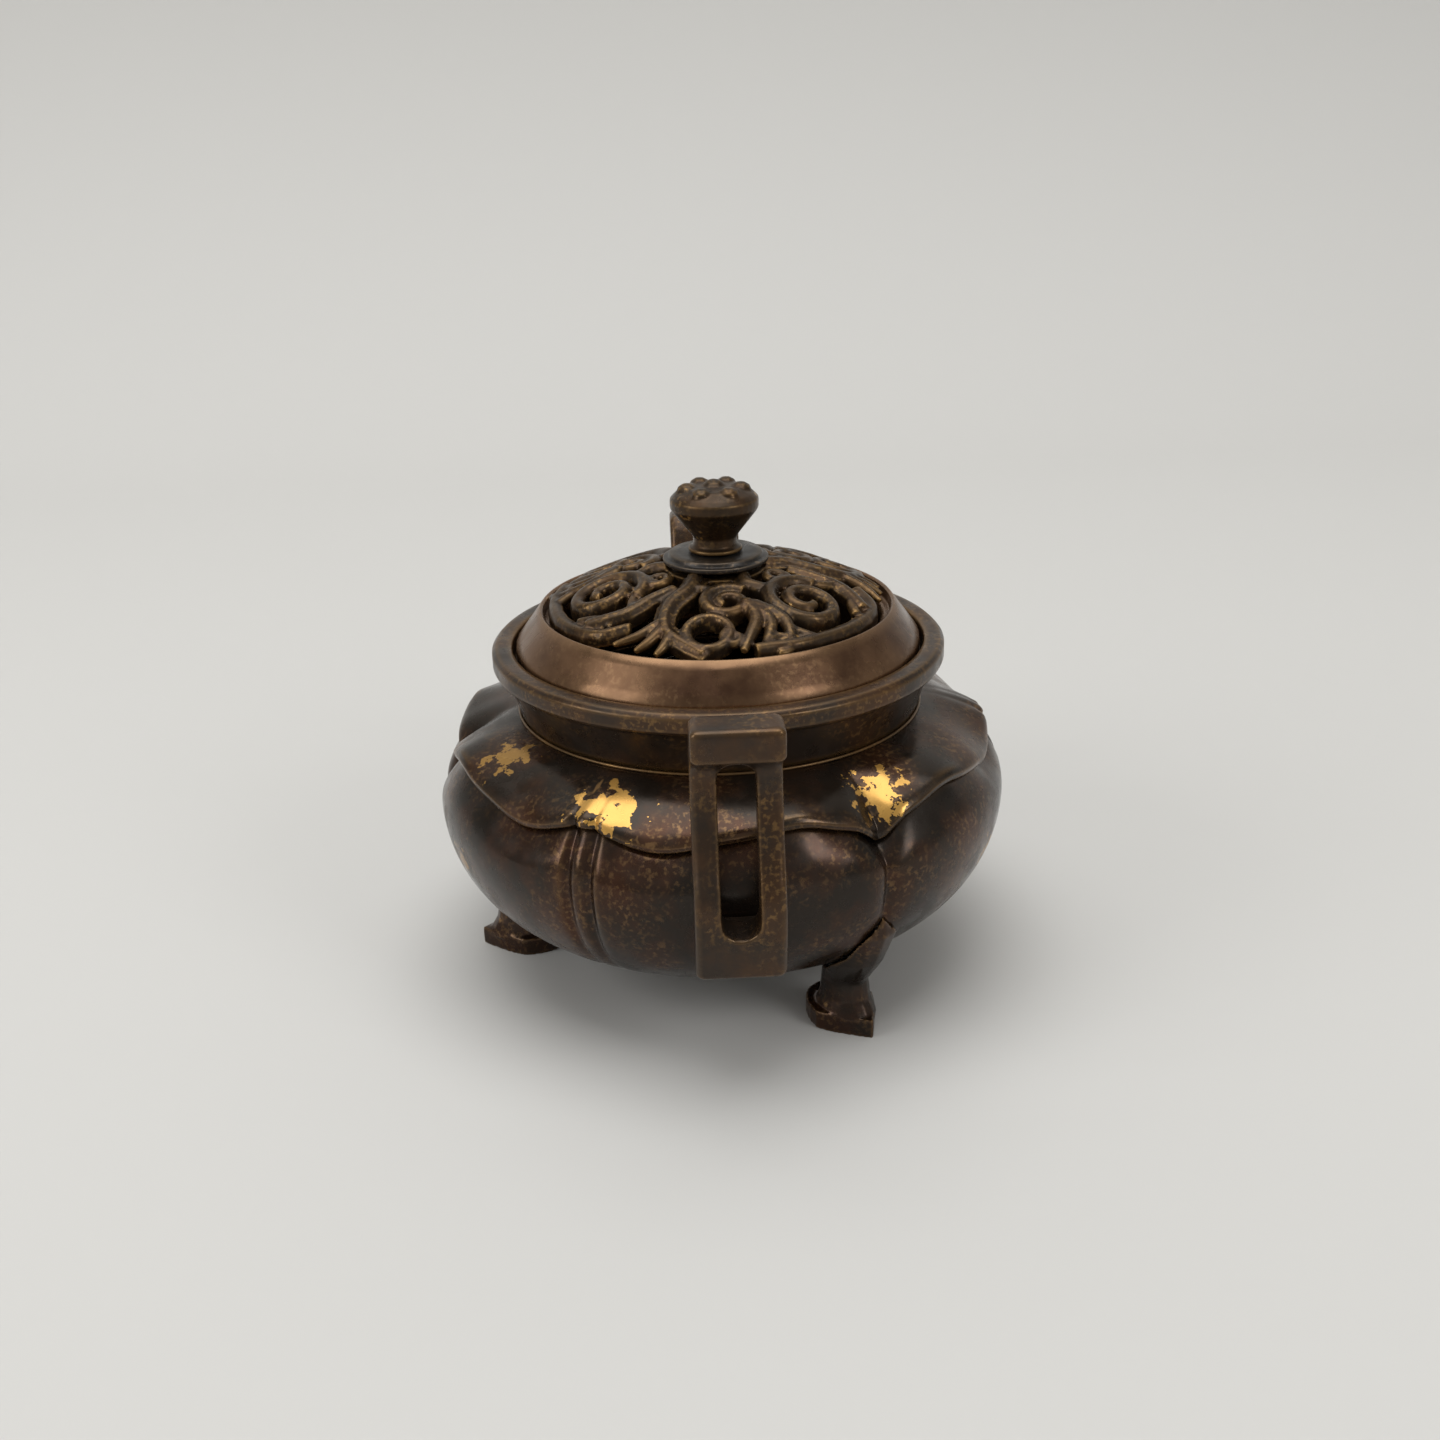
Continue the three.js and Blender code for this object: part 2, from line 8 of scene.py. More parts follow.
import bmesh
import bpy
from mathutils import Euler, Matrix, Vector


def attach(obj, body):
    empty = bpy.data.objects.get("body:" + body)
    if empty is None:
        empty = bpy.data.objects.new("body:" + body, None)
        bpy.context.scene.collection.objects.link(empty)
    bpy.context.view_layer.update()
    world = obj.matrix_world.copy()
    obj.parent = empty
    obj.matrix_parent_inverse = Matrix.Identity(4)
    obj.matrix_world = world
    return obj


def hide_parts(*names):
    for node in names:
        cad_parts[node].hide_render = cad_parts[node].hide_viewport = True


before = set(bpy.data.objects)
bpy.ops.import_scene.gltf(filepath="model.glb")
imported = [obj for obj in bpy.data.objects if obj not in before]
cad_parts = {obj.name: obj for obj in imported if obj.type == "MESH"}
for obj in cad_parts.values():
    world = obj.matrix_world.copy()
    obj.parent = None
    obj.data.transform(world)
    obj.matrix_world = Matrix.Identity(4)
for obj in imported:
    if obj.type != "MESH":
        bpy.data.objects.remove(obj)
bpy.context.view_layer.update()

MM = 0.001
log = logging.getLogger("burner")


class Making(Enum):
    """How a piece's fine surface is made from its solid."""

    TURNED = "subdivided between creased edges, for round and lobed walls"
    CAST = "remeshed and softened, for cast relief and pierced work"


def linear(hex_colour: str) -> tuple[float, float, float, float]:
    """Turns an sRGB hex colour to linear.

    Args:
        hex_colour: six hex digits after a hash sign.

    Returns:
        Linear red, green and blue, with an alpha of 1.
    """
    channels = [int(hex_colour[i : i + 2], 16) / 255 for i in (1, 3, 5)]
    values = [c / 12.92 if c <= 0.04045 else ((c + 0.055) / 1.055) ** 2.4 for c in channels]
    return (*values, 1.0)


def add(tree: bpy.types.NodeTree, kind: str, settings: dict | None = None, **inputs: object) -> bpy.types.Node:
    """Adds a node with its settings and links.

    Args:
        tree: the node tree.
        kind: the node's type name.
        settings: properties of the node.
        **inputs: sockets by name, with underscores for spaces, each a value or an output to link.

    Returns:
        The new node.
    """
    node = tree.nodes.new(kind)
    for key, value in (settings or {}).items():
        setattr(node, key, value)
    for key, value in inputs.items():
        name = key.replace("_", " ")
        socket = node.inputs[int(name[1:])] if name[1:].isdigit() else node.inputs[name]
        if isinstance(value, bpy.types.NodeSocket):
            tree.links.new(value, socket)
        else:
            socket.default_value = value
    return node


def noise(
    tree: bpy.types.NodeTree, place: bpy.types.NodeSocket, grain_mm: float, **inputs: float
) -> bpy.types.NodeSocket:
    """Adds a noise with a grain of a real size.

    Args:
        tree: the node tree.
        place: object coordinates.
        grain_mm: the size of its grain in millimetres.
        **inputs: the noise's other inputs, such as Detail.

    Returns:
        The noise's value.
    """
    made = add(tree, "ShaderNodeTexNoise", Vector=place, Scale=1 / (grain_mm * MM), **inputs)
    return made.outputs["Fac"]


def ramp(
    tree: bpy.types.NodeTree,
    value: bpy.types.NodeSocket,
    span: tuple[float, float],
    result: tuple[float, float] = (0.0, 1.0),
) -> bpy.types.NodeSocket:
    """Maps a span of values to a span of results, held at both ends.

    Args:
        tree: the node tree.
        value: the value to map.
        span: the values that give the first and the last result.
        result: the first and the last result.

    Returns:
        The mapped value.
    """
    made = add(
        tree,
        "ShaderNodeMapRange",
        Value=value,
        From_Min=span[0],
        From_Max=span[1],
        To_Min=result[0],
        To_Max=result[1],
    )
    return made.outputs["Result"]


def calculate(
    tree: bpy.types.NodeTree, operation: str, first: bpy.types.NodeSocket, second: object
) -> bpy.types.NodeSocket:
    """Adds one step of arithmetic.

    Args:
        tree: the node tree.
        operation: the operation's name.
        first: the first value.
        second: the second value, a number or an output.

    Returns:
        The result.
    """
    return add(tree, "ShaderNodeMath", {"operation": operation}, i0=first, i1=second).outputs[0]


def blend(
    tree: bpy.types.NodeTree, share: bpy.types.NodeSocket, below: object, above: object
) -> bpy.types.NodeSocket:
    """Mixes two colours.

    Args:
        tree: the node tree.
        share: how much of the upper colour shows.
        below: the lower colour, a value or an output.
        above: the upper colour, a value or an output.

    Returns:
        The mixed colour.
    """
    made = add(tree, "ShaderNodeMix", {"data_type": "RGBA"}, i0=share, i6=below, i7=above)
    return made.outputs[2]


@dataclass(frozen=True)
class Splash:
    """A fire-gilt splash on the patina: its centre and size in millimetres."""

    centre: tuple[float, float, float]
    radius: float
    strength: float = 1.0


@dataclass(frozen=True)
class CastBronze:
    """Cast bronze with a chemical patina: dark, glossy, mottled, and rubbed brown on its high edges."""

    name: str
    base: str
    mottle: str
    worn: str
    roughness: float = 0.3
    metallic: float = 0.65
    mottle_mm: float = 16.0
    grain_mm: float = 0.9
    wear: float = 1.0
    speckle: float = 0.38
    speckle_mm: float = 1.1
    splashes: tuple[Splash, ...] = ()
    gold: str = "#d6a555"
    mottle_span: tuple[float, float] = (0.42, 0.66)
    speck_span: tuple[float, float] = (0.52, 0.66)
    patch_span: tuple[float, float] = (0.4, 0.62)
    patch_specks: float = 14.0
    sheen_share: float = 0.4
    sheen_span: tuple[float, float] = (0.35, 0.65)
    sheen_change: tuple[float, float] = (-0.07, 0.1)
    edge_span: tuple[float, float] = (0.51, 0.6)
    edge_share: float = 0.75
    grain_strength: float = 0.12
    grain_depth_mm: float = 0.05
    ragged_mm: float = 3.4
    ragged_span: tuple[float, float] = (0.3, 0.7)
    ragged_share: float = 1.25
    splash_edge_mm: float = 0.25

    def material(self) -> bpy.types.Material:
        """Builds the material's nodes.

        Returns:
            The material.
        """
        made = bpy.data.materials.new(self.name)
        made.use_nodes = True
        tree = made.node_tree
        tree.nodes.clear()
        place = add(tree, "ShaderNodeTexCoord").outputs["Object"]
        colour = self._mottled(tree, place)
        colour = self._speckled(tree, place, colour)
        colour = self._worn(tree, colour)
        for splash in self.splashes:
            colour = self._splashed(tree, place, colour, splash)
        bump = add(
            tree,
            "ShaderNodeBump",
            Strength=self.grain_strength,
            Distance=self.grain_depth_mm * MM,
            Height=noise(tree, place, self.grain_mm, Detail=3.0),
        )
        shader = add(
            tree,
            "ShaderNodeBsdfPrincipled",
            Base_Color=colour,
            Roughness=self._sheen(tree, place),
            Metallic=self.metallic,
            Normal=bump.outputs["Normal"],
        )
        add(tree, "ShaderNodeOutputMaterial", Surface=shader.outputs["BSDF"])
        return made

    def _sheen(self, tree: bpy.types.NodeTree, place: bpy.types.NodeSocket) -> bpy.types.NodeSocket:
        """Varies the roughness in soft clouds.

        Args:
            tree: the node tree.
            place: object coordinates.

        Returns:
            The roughness.
        """
        clouds = noise(tree, place, self.mottle_mm * self.sheen_share, Detail=4.0)
        smooth, dull = self.sheen_change
        return ramp(tree, clouds, self.sheen_span, (self.roughness + smooth, self.roughness + dull))

    def _mottled(self, tree: bpy.types.NodeTree, place: bpy.types.NodeSocket) -> bpy.types.NodeSocket:
        """Mixes the base and mottle colours in soft clouds.

        Args:
            tree: the node tree.
            place: object coordinates.

        Returns:
            The mottled colour.
        """
        clouds = noise(tree, place, self.mottle_mm, Detail=6.0, Roughness=0.62)
        return blend(tree, ramp(tree, clouds, self.mottle_span), linear(self.base), linear(self.mottle))

    def _speckled(
        self, tree: bpy.types.NodeTree, place: bpy.types.NodeSocket, colour: bpy.types.NodeSocket
    ) -> bpy.types.NodeSocket:
        """Scatters the fine golden-brown specks that show through a thin patina, thicker in patches.

        Args:
            tree: the node tree.
            place: object coordinates.
            colour: the colour below.

        Returns:
            The speckled colour.
        """
        specks = ramp(tree, noise(tree, place, self.speckle_mm, Detail=2.0), self.speck_span)
        broad = noise(tree, place, self.speckle_mm * self.patch_specks, Detail=2.0)
        both = calculate(tree, "MULTIPLY", specks, ramp(tree, broad, self.patch_span))
        share = calculate(tree, "MULTIPLY", both, self.speckle)
        return blend(tree, share, colour, linear(self.worn))

    def _worn(self, tree: bpy.types.NodeTree, colour: bpy.types.NodeSocket) -> bpy.types.NodeSocket:
        """Rubs the convex edges towards the worn colour.

        Args:
            tree: the node tree.
            colour: the colour below.

        Returns:
            The colour with its rubbed edges.
        """
        edge = add(tree, "ShaderNodeNewGeometry").outputs["Pointiness"]
        share = ramp(tree, edge, self.edge_span, (0.0, self.edge_share * self.wear))
        return blend(tree, share, colour, linear(self.worn))

    def _splashed(
        self,
        tree: bpy.types.NodeTree,
        place: bpy.types.NodeSocket,
        colour: bpy.types.NodeSocket,
        splash: Splash,
    ) -> bpy.types.NodeSocket:
        """Lays one ragged gold splash over the colour, on the outside only.

        Args:
            tree: the node tree.
            place: object coordinates.
            colour: the colour below.
            splash: the splash.

        Returns:
            The colour with the splash.
        """
        centre = tuple(c * MM for c in splash.centre)
        far = add(tree, "ShaderNodeVectorMath", {"operation": "DISTANCE"}, i0=place, i1=centre).outputs["Value"]
        reach = self.ragged_share * splash.radius * MM
        ragged = noise(tree, place, self.ragged_mm, Detail=4.0, Roughness=0.6)
        shift = ramp(tree, ragged, self.ragged_span, (-reach, reach))
        edge = (splash.radius * MM, (splash.radius - self.splash_edge_mm) * MM)
        share = ramp(tree, calculate(tree, "ADD", far, shift), edge, (0.0, splash.strength))
        normal = add(tree, "ShaderNodeTexCoord").outputs["Normal"]
        facing = add(tree, "ShaderNodeVectorMath", {"operation": "DOT_PRODUCT"}, i0=normal, i1=place)
        outside = calculate(tree, "GREATER_THAN", facing.outputs["Value"], 0.0)
        return blend(tree, calculate(tree, "MULTIPLY", share, outside), colour, linear(self.gold))


SHOULDER_SPLASHES = (
    Splash((-26.5, -54.5, 61.4), 5.6, 0.9),
    Splash((32.6, -50.4, 60.8), 4.6, 0.9),
    Splash((-50.0, -28.0, 63.0), 4.2, 0.5),
)
BOWL_SPLASHES = (Splash((61.0, -25.1, 32.5), 5.0, 0.45), Splash((-60.4, -26.7, 37.7), 3.5, 0.4))

PATINA = CastBronze("cast_bronze_dark_patina", "#2b241e", "#43291a", "#8c6c46", 0.24, splashes=BOWL_SPLASHES)
SHOULDER_PATINA = CastBronze(
    "cast_bronze_shoulder_patina", "#2e261f", "#482e1e", "#a07c50", 0.24, splashes=SHOULDER_SPLASHES
)
WARM_PATINA = CastBronze("cast_bronze_warm_patina", "#362c24", "#4e3622", "#9c7848", 0.3)
COPPER = CastBronze(
    "smooth_copper_bronze", "#73563e", "#4e3626", "#a5835f", 0.27, 0.8, mottle_mm=20.0, speckle=0.3
)
SCROLL = CastBronze("rubbed_scroll_bronze", "#382c20", "#4a3521", "#ac8650", 0.34, 0.75, 7.0, wear=1.3)
DARK = CastBronze("near_black_patina", "#2c2a29", "#35302c", "#7d6a54", 0.34)


def polar(radius: float, degrees: float) -> tuple[float, float]:
    """Turns a radius and an angle in degrees to x and y."""
    a = math.radians(degrees)
    return radius * math.cos(a), radius * math.sin(a)


def smooth_point(knots: list[Vector], t: float) -> Vector:
    """Finds a point between the second and third of four knots, on the smooth curve through them.

    Args:
        knots: the four knots.
        t: how far along, from 0 to 1.

    Returns:
        The point.
    """
    a, b, c, d = knots
    bend = 2 * a - 5 * b + 4 * c - d
    twist = 3 * b - a - 3 * c + d
    return 0.5 * (2 * b + (c - a) * t + bend * t**2 + twist * t**3)


@dataclass
class Stroke:
    """One rounded stroke of the scrollwork in plan: through points, or winding about a centre. Millimetres."""

    points: tuple[tuple[float, float], ...] = ()
    centre: tuple[float, float] = (0.0, 0.0)
    outer: float = 0.0
    inner: float = 0.0
    start: float = 0.0
    turns: float = 0.0
    thick: float = 1.2
    tip: float = 0.7
    steps: int = 40

    def path(self) -> list[tuple[float, float]]:
        """Finds the stroke's line in plan.

        Returns:
            Its points as x and y.
        """
        if self.points:
            return self._through()
        cx, cy = polar(*self.centre)
        made = []
        for i in range(self.steps + 1):
            t = i / self.steps
            r = self.outer + (self.inner - self.outer) * t
            a = math.radians(self.start + 360 * self.turns * t)
            made.append((cx + r * math.cos(a), cy + r * math.sin(a)))
        return made

    def _through(self) -> list[tuple[float, float]]:
        """Runs a smooth line through the stroke's polar points.

        Returns:
            Its points as x and y.
        """
        knots = [Vector((*polar(*p), 0)) for p in self.points]
        knots = [2 * knots[0] - knots[1], *knots, 2 * knots[-1] - knots[-2]]
        made = []
        spans = len(knots) - 3
        for i in range(self.steps + 1):
            at = i / self.steps * spans
            k = min(int(at), spans - 1)
            point = smooth_point(knots[k : k + 4], at - k)
            made.append((point.x, point.y))
        return made


@dataclass
class ScrollRelief:
    """The rounded backs of the dome's scrolls, with small leaves and curls between them."""

    sectors: int = 3
    outer_r: float = 40.6
    edge_z: float = 89.0
    top_z: float = 98.8
    arch: float = 2.1
    sink: float = 0.5
    roundness: int = 3
    strokes: tuple[Stroke, ...] = (
        Stroke(points=((11, 2), (17, 6), (25, 2), (33, 8), (39, 23)), thick=2.1, tip=1.2),
        Stroke(points=((30, 4), (35, -2), (38.8, -9)), thick=1.5, tip=0.7, steps=14),
        Stroke(points=((32, 6), (36.5, 3), (39.4, 0)), thick=1.5, tip=0.7, steps=14),
        Stroke(points=((34, 10), (37.5, 9), (39.8, 7.5)), thick=1.4, tip=0.7, steps=12),
        Stroke(centre=(32.5, 24), outer=4.9, inner=4.9, turns=1.0, thick=1.3, tip=1.3),
        Stroke(points=((11, 62), (15, 56), (19, 66)), thick=1.8, tip=1.3, steps=16),
        Stroke(centre=(27, 76), outer=9.6, inner=1.6, start=195, turns=1.75, thick=1.8, tip=1.3, steps=70),
        Stroke(centre=(22, 34), outer=6.2, inner=1.3, start=170, turns=1.5, thick=1.6, tip=1.1, steps=50),
        Stroke(points=((38.2, 40), (38.4, 58), (38.6, 80), (37.6, 100), (33, 112)), thick=1.5, tip=1.2),
        Stroke(points=((36.5, 94), (30, 104), (23, 108), (17, 114)), thick=1.9, tip=1.2),
        Stroke(centre=(37.2, 49), outer=3.0, inner=0.9, start=20, turns=1.2, thick=1.1, tip=0.9, steps=30),
        Stroke(centre=(15.8, 88), outer=3.4, inner=0.9, start=60, turns=1.3, thick=1.2, tip=0.9, steps=30),
        Stroke(points=((28, 104), (24, 97), (19, 96)), thick=1.4, tip=0.7, steps=14),
        Stroke(points=((36.5, 88), (33.5, 95), (34, 103)), thick=1.3, tip=0.7, steps=14),
        Stroke(points=((37.8, 62), (34, 57), (30, 58)), thick=1.3, tip=0.7, steps=14),
        Stroke(points=((16, 6), (16.5, 20), (17, 32)), thick=1.4, tip=1.0, steps=16),
        Stroke(points=((23, 44), (29, 45), (34, 40), (38.4, 36)), thick=1.9, tip=0.9, steps=20),
        Stroke(points=((24, 45), (31, 50), (38.4, 43)), thick=1.8, tip=0.9, steps=18),
        Stroke(points=((24, 47), (30, 56), (35, 55), (38.4, 51)), thick=1.8, tip=0.9, steps=20),
        Stroke(centre=(34.4, 33.5), outer=2.6, inner=0.9, start=200, turns=1.1, thick=1.2, tip=0.9, steps=26),
    )

    def height(self, r: float) -> float:
        """Returns the dome's height at a radius, in millimetres."""
        share = min(1.0, r / self.outer_r)
        return self.top_z - (self.top_z - self.edge_z) * share**self.arch

    def carve(self, shape: bmesh.types.BMesh) -> None:
        """Adds every stroke as a closed tube, for the remesh to fuse with the dome.

        Args:
            shape: the dome's mesh, which gains the strokes.
        """
        curve = bpy.data.curves.new("scroll_strokes", "CURVE")
        curve.dimensions = "3D"
        curve.bevel_depth = 1.0
        curve.bevel_resolution = self.roundness
        curve.use_fill_caps = True
        for k in range(self.sectors):
            turn = math.radians(360 / self.sectors * k)
            for stroke in self.strokes:
                self._lay(curve, stroke, turn)
        holder = bpy.data.objects.new("scroll_strokes", curve)
        tubes = bpy.data.meshes.new_from_object(holder)
        shape.from_mesh(tubes)
        bpy.data.objects.remove(holder)

    def _lay(self, curve: bpy.types.Curve, stroke: Stroke, turn: float) -> None:
        """Lays one stroke on the dome as a spline.

        Args:
            curve: the curve that gains it.
            stroke: the stroke in plan.
            turn: the sector's turn in radians.
        """
        path = stroke.path()
        spline = curve.splines.new("POLY")
        spline.points.add(len(path) - 1)
        for i, (x, y) in enumerate(path):
            share = i / (len(path) - 1)
            thick = stroke.thick + (stroke.tip - stroke.thick) * share**2
            z = self.height(math.hypot(x, y)) - self.sink
            px = x * math.cos(turn) - y * math.sin(turn)
            py = x * math.sin(turn) + y * math.cos(turn)
            spline.points[i].co = (px * MM, py * MM, z * MM, 1)
            spline.points[i].radius = thick * MM


@dataclass
class Piece:
    """One visible piece, made from a copy of its solid."""

    node: str
    body: str
    slot: str
    finish: CastBronze
    making: Making = Making.TURNED
    voxel_mm: float = 0.5
    crease_degrees: float = 38.0
    crease: float = 0.75
    levels: int = 2
    soften: int = 3
    soften_factor: float = 0.5
    merge_mm: float = 0.002
    flat_degrees: float = 30.0
    skew_degrees: float = 60.0
    relief: ScrollRelief | None = None

    def build(self, materials: dict[str, bpy.types.Material]) -> bpy.types.Object:
        """Builds, dresses and places the piece.

        Args:
            materials: the finished materials by name.

        Returns:
            The piece's object.
        """
        mesh = self._mesh()
        piece = bpy.data.objects.new(f"{self.node}_surface", mesh)
        bpy.context.scene.collection.objects.link(piece)
        if self.making is Making.TURNED:
            smooth = piece.modifiers.new("Subdivision", "SUBSURF")
            smooth.levels = self.levels
            smooth.render_levels = self.levels
        else:
            remesh = piece.modifiers.new("Remesh", "REMESH")
            remesh.mode = "VOXEL"
            remesh.voxel_size = self.voxel_mm * MM
            remesh.use_smooth_shade = True
            soften = piece.modifiers.new("Smooth", "SMOOTH")
            soften.factor = self.soften_factor
            soften.iterations = self.soften
        piece.data.materials.append(materials[self.finish.name])
        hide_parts(self.node)
        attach(piece, self.body)
        log.info("%s: %s", piece.name, self.making.name)
        return piece

    def _mesh(self) -> bpy.types.Mesh:
        """Copies the solid with merged corners, quads and creases.

        Returns:
            The mesh.
        """
        shape = bmesh.new()
        shape.from_mesh(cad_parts[self.node].data)
        bmesh.ops.remove_doubles(shape, verts=shape.verts, dist=self.merge_mm * MM)
        bmesh.ops.join_triangles(
            shape,
            faces=shape.faces,
            angle_face_threshold=math.radians(self.flat_degrees),
            angle_shape_threshold=math.radians(self.skew_degrees),
        )
        layer = shape.edges.layers.float.new("crease_edge")
        limit = math.radians(self.crease_degrees)
        for edge in shape.edges:
            if edge.is_manifold and edge.calc_face_angle(0) > limit:
                edge[layer] = self.crease
        if self.relief:
            self.relief.carve(shape)
        for face in shape.faces:
            face.smooth = True
        mesh = bpy.data.meshes.new(f"{self.node}_surface")
        shape.to_mesh(mesh)
        shape.free()
        return mesh


@dataclass
class Vessel:
    """The burner's body: bowl, shoulder, mouth, feet and handles."""

    body: str = "vessel"
    feet: int = 3
    handles: tuple[str, ...] = ("handle_front", "handle_back")

    def pieces(self) -> list[Piece]:
        """Lists the vessel's pieces.

        Returns:
            The pieces.
        """
        made = [
            Piece("belly_bowl", self.body, "patina", PATINA, crease=0.4),
            Piece("shoulder_collar", self.body, "patina", SHOULDER_PATINA, crease=0.55),
            Piece("mouth_ring", self.body, "patina_warm", WARM_PATINA, crease_degrees=25),
        ]
        made += [
            Piece(f"foot_{k + 1}", self.body, "patina", PATINA, Making.CAST, 0.45) for k in range(self.feet)
        ]
        made += [
            Piece(name, self.body, "patina_warm", WARM_PATINA, Making.CAST, 0.45, soften=14) for name in self.handles
        ]
        return made


@dataclass
class Lid:
    """The lid: bevelled ring, pierced dome, disc and knob."""

    body: str = "lid"

    def pieces(self) -> list[Piece]:
        """Lists the lid's pieces.

        Returns:
            The pieces.
        """
        return [
            Piece("lid_ring", self.body, "copper_ring", COPPER, crease_degrees=20),
            Piece("lid_dome", self.body, "scroll", SCROLL, Making.CAST, 0.4, relief=ScrollRelief()),
            Piece("lid_disc", self.body, "dark", DARK, crease_degrees=25),
            Piece("lid_knob", self.body, "scroll", SCROLL, Making.CAST, 0.32),
            Piece("knob_nut", self.body, "dark", DARK, crease_degrees=20, levels=1),
        ]


@dataclass
class SeamBead:
    """The thin bright line where the neck meets the shoulder."""

    radius: float = 48.35
    height: float = 65.15
    thickness: float = 0.35
    steps: int = 180
    sides: int = 10
    merge_mm: float = 0.001

    def build(self, materials: dict[str, bpy.types.Material]) -> bpy.types.Object:
        """Spins a small circle round the neck.

        Args:
            materials: the finished materials by name.

        Returns:
            The bead's object.
        """
        shape = bmesh.new()
        ring = bmesh.ops.create_circle(shape, segments=self.sides, radius=self.thickness * MM)["verts"]
        turn = Euler((math.radians(90), 0, 0)).to_matrix()
        bmesh.ops.rotate(shape, verts=ring, cent=(0, 0, 0), matrix=turn)
        bmesh.ops.translate(shape, verts=ring, vec=(self.radius * MM, 0, self.height * MM))
        bmesh.ops.spin(
            shape,
            geom=shape.verts[:] + shape.edges[:],
            cent=(0, 0, 0),
            axis=(0, 0, 1),
            angle=math.tau,
            steps=self.steps,
            use_merge=True,
        )
        bmesh.ops.remove_doubles(shape, verts=shape.verts, dist=self.merge_mm * MM)
        bmesh.ops.recalc_face_normals(shape, faces=shape.faces)
        for face in shape.faces:
            face.smooth = True
        mesh = bpy.data.meshes.new("neck_seam_bead")
        shape.to_mesh(mesh)
        shape.free()
        bead = bpy.data.objects.new("neck_seam_bead", mesh)
        bpy.context.scene.collection.objects.link(bead)
        bead.data.materials.append(materials[WARM_PATINA.name])
        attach(bead, "vessel")
        return bead


@dataclass(frozen=True)
class Lamp:
    """One square soft lamp: its place and side in metres, and its power in watts."""

    name: str
    place: tuple[float, float, float]
    size: float
    power: float

    def hang(self, aim: tuple[float, float, float]) -> None:
        """Hangs the lamp, turned to a point.

        Args:
            aim: the point it shines at.
        """
        lamp = bpy.data.lights.new(self.name, "AREA")
        lamp.size = self.size
        lamp.energy = self.power
        holder = bpy.data.objects.new(self.name, lamp)
        holder.location = self.place
        holder.rotation_euler = (Vector(aim) - Vector(self.place)).to_track_quat("-Z", "Y").to_euler()
        bpy.context.scene.collection.objects.link(holder)


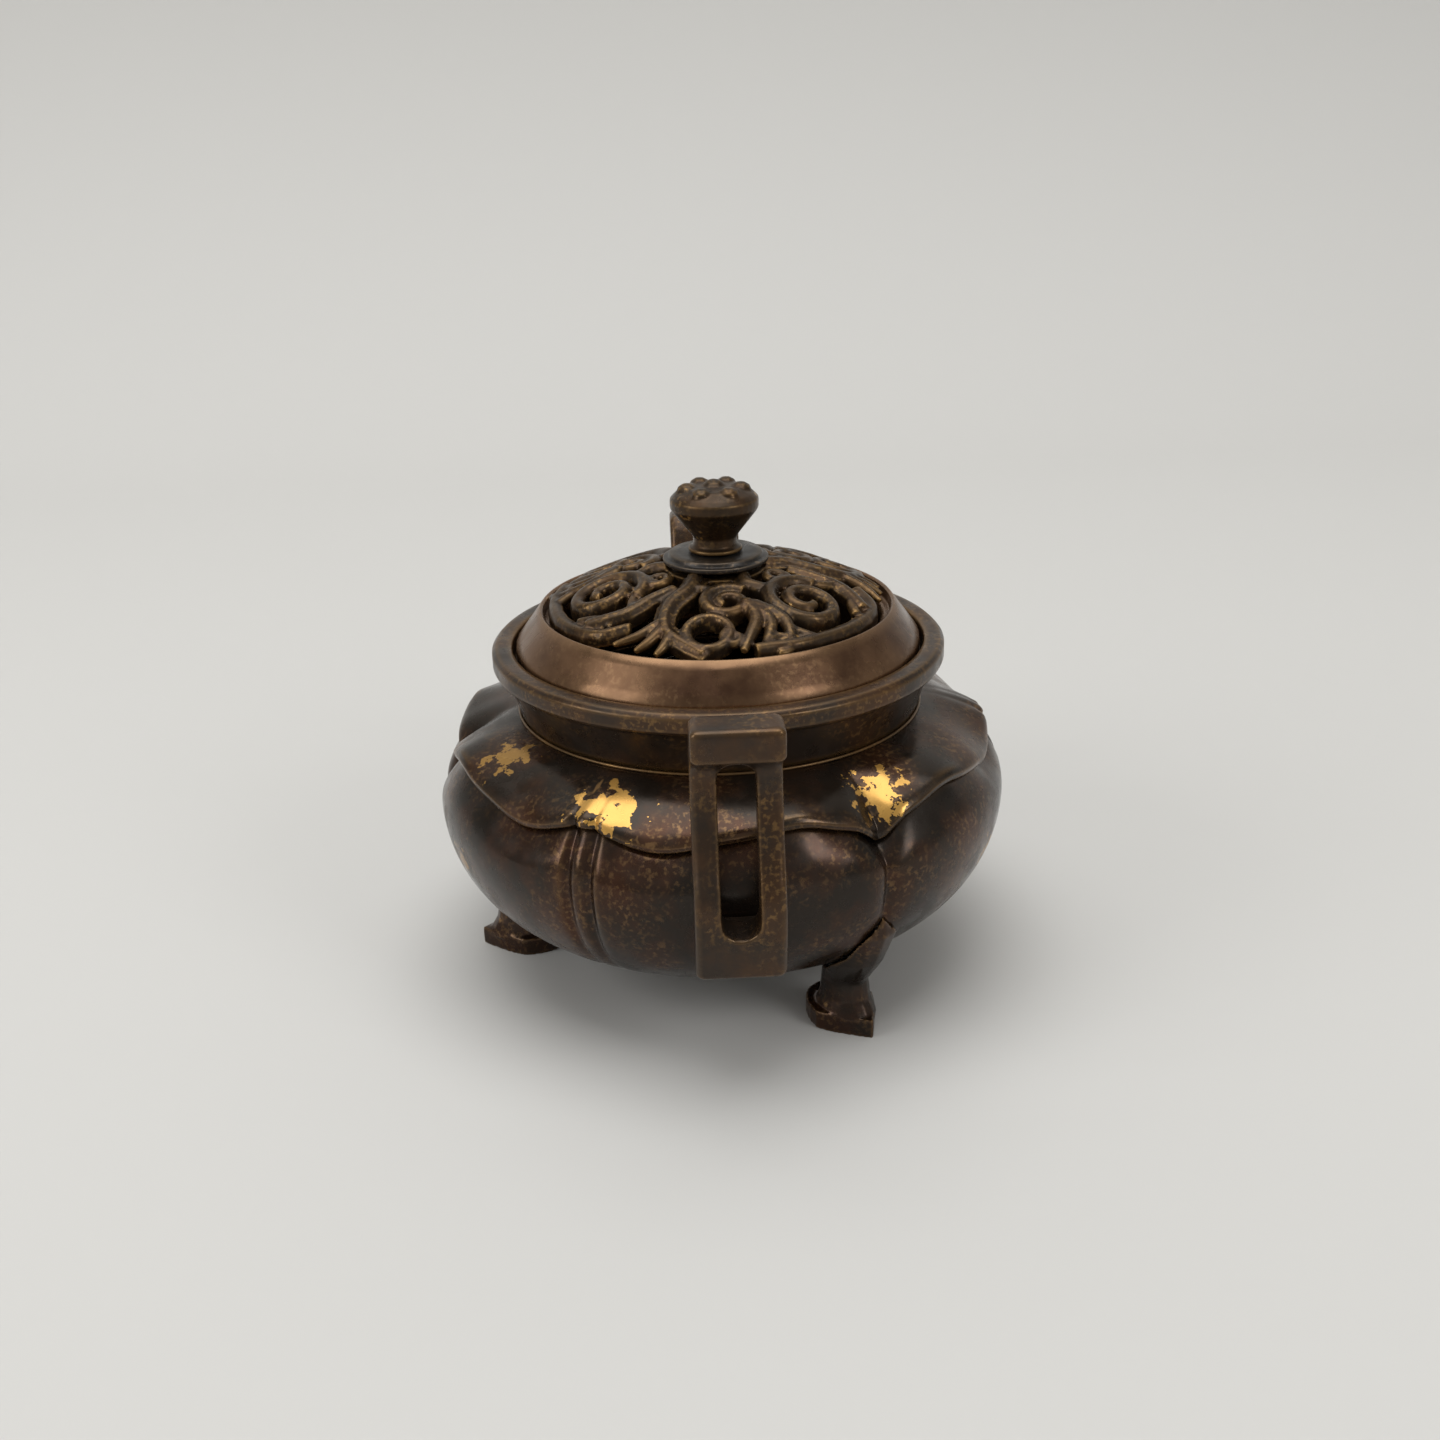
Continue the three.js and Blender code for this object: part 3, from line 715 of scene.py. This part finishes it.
@dataclass
class Studio:
    """The pale curved backdrop, the soft lamps and the camera."""

    paper: str = "#cbcac7"
    paper_front: float = -4.0
    paper_back: float = 0.5
    bend: float = 0.3
    bend_steps: int = 24
    wall: float = 3.0
    half_width: float = 4.0
    camera_place: tuple[float, float, float] = (-0.01546, -0.3850, 0.2123)
    pitch: float = 68.25
    heading: float = -2.3
    roll: float = -1.52
    lens: float = 42.35
    sensor_width: float = 36.0
    clip_start: float = 0.01
    world_colour: str = "#cecdca"
    world_strength: float = 0.55
    paper_roughness: float = 0.9
    aim: tuple[float, float, float] = (0.0, 0.0, 0.06)
    lamps: tuple[Lamp, ...] = (
        Lamp("overhead", (-0.1, 0.1, 1.9), 1.8, 29.0),
        Lamp("left", (-1.1, -0.5, 0.7), 0.7, 5.0),
        Lamp("right", (0.9, -0.8, 0.8), 0.5, 3.5),
    )

    def build(self) -> None:
        """Builds the floor, lamps, world and camera."""
        self._floor()
        for lamp in self.lamps:
            lamp.hang(self.aim)
        self._world()
        self._camera()

    def _floor(self) -> None:
        """Sweeps the backdrop paper from the floor up into a wall."""
        shape = bmesh.new()
        line = [(self.paper_front, 0.0)]
        for i in range(self.bend_steps + 1):
            a = math.radians(90 * i / self.bend_steps)
            line.append((self.paper_back + self.bend * math.sin(a), self.bend * (1 - math.cos(a))))
        line.append((self.paper_back + self.bend, self.wall))
        corners = [shape.verts.new((-self.half_width, y, z)) for y, z in line]
        edges = [shape.edges.new(pair) for pair in zip(corners, corners[1:])]
        grown = bmesh.ops.extrude_edge_only(shape, edges=edges)["geom"]
        moved = [v for v in grown if isinstance(v, bmesh.types.BMVert)]
        bmesh.ops.translate(shape, verts=moved, vec=(2 * self.half_width, 0, 0))
        for face in shape.faces:
            face.smooth = True
        mesh = bpy.data.meshes.new("studio_paper")
        shape.to_mesh(mesh)
        shape.free()
        paint = bpy.data.materials.new("matt_backdrop_paper")
        paint.use_nodes = True
        shader = paint.node_tree.nodes["Principled BSDF"]
        shader.inputs["Base Color"].default_value = linear(self.paper)
        shader.inputs["Roughness"].default_value = self.paper_roughness
        mesh.materials.append(paint)
        paper = bpy.data.objects.new("studio_paper", mesh)
        bpy.context.scene.collection.objects.link(paper)

    def _world(self) -> None:
        """Sets a pale, even world."""
        world = bpy.data.worlds.new("studio_world")
        world.use_nodes = True
        backdrop = world.node_tree.nodes["Background"]
        backdrop.inputs["Color"].default_value = linear(self.world_colour)
        backdrop.inputs["Strength"].default_value = self.world_strength
        bpy.context.scene.world = world

    def _camera(self) -> None:
        """Places the camera at the photograph's angle."""
        camera = bpy.data.cameras.new("camera")
        camera.lens = self.lens
        camera.sensor_width = self.sensor_width
        camera.clip_start = self.clip_start
        holder = bpy.data.objects.new("camera", camera)
        turn = Euler((math.radians(self.pitch), 0, math.radians(self.heading))).to_matrix()
        roll = Euler((0, 0, math.radians(self.roll))).to_matrix()
        holder.rotation_euler = (turn @ roll).to_euler()
        holder.location = self.camera_place
        bpy.context.scene.collection.objects.link(holder)
        bpy.context.scene.camera = holder


def main() -> None:
    """Builds the materials, the pieces and the studio."""
    logging.basicConfig(level=logging.INFO)
    bpy.context.scene.view_settings.view_transform = "Standard"
    finishes = (PATINA, SHOULDER_PATINA, WARM_PATINA, COPPER, SCROLL, DARK)
    materials = {finish.name: finish.material() for finish in finishes}
    for assembly in (Vessel(), Lid()):
        for piece in assembly.pieces():
            piece.build(materials)
    SeamBead().build(materials)
    Studio().build()


if __name__ == "__main__":
    main()
